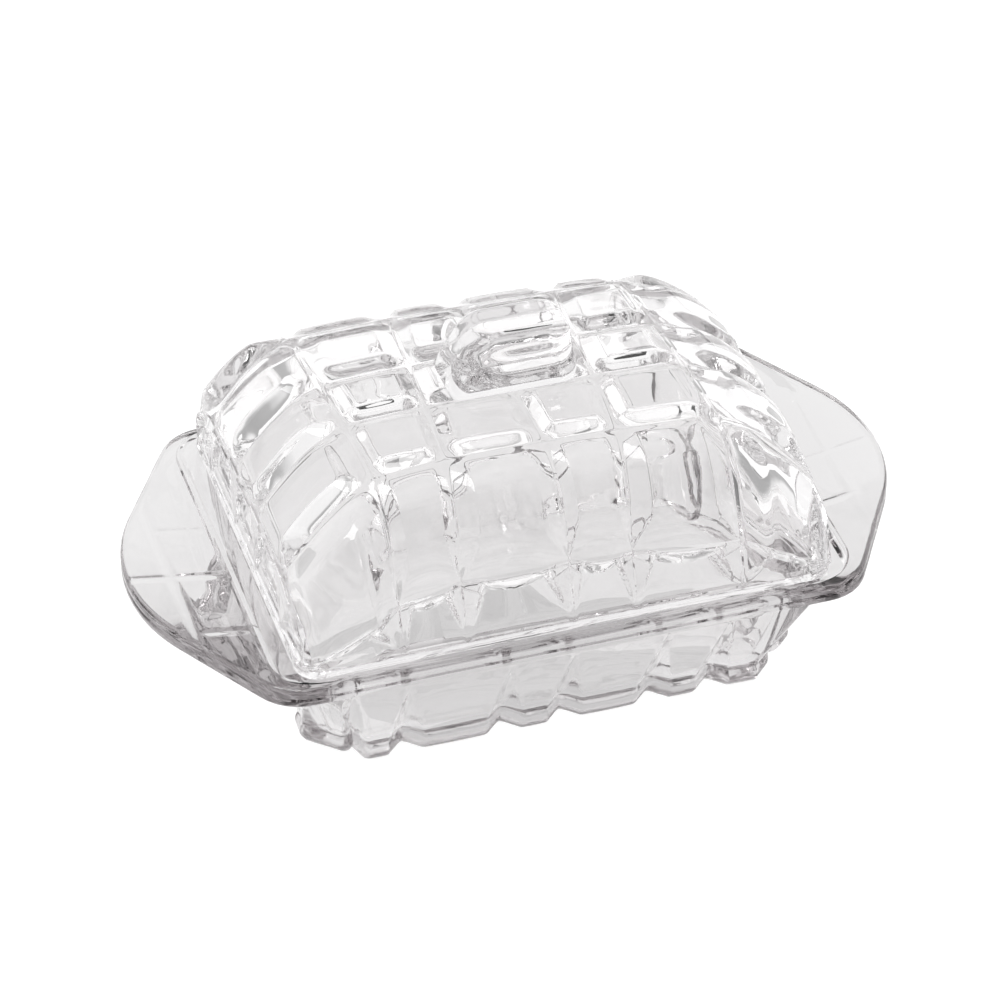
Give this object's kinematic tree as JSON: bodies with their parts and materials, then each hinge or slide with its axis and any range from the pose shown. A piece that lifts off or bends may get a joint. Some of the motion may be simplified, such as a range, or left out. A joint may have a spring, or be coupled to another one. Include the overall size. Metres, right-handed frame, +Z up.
{
  "type": "covered butter dish",
  "caption": "Pressed-glass butter dish: a footed trough tray with a lug at each end and a quilted domed lid with a bar knob.",
  "frame": {"origin": "middle of the whole dish in plan, at the flat underside of the foot, where it stands on the table", "axes": "+X along the dish through both lugs, +Y across it, +Z up through the knob, the way the lid lifts"},
  "size_m": [0.206, 0.115, 0.0972],
  "materials": {
    "tray_glass": "clear pressed glass, fire-polished",
    "lid_glass": "clear pressed glass, fire-polished"
  },
  "bodies": {
    "tray": {"tray": "tray_glass"},
    "lid": {"lid": "lid_glass"}
  },
  "joints": [
    {"name": "lid_lift", "type": "slide", "parent": "tray", "child": "lid", "axis": [0, 0, 1], "range_m": [0, 0.12]}
  ]
}
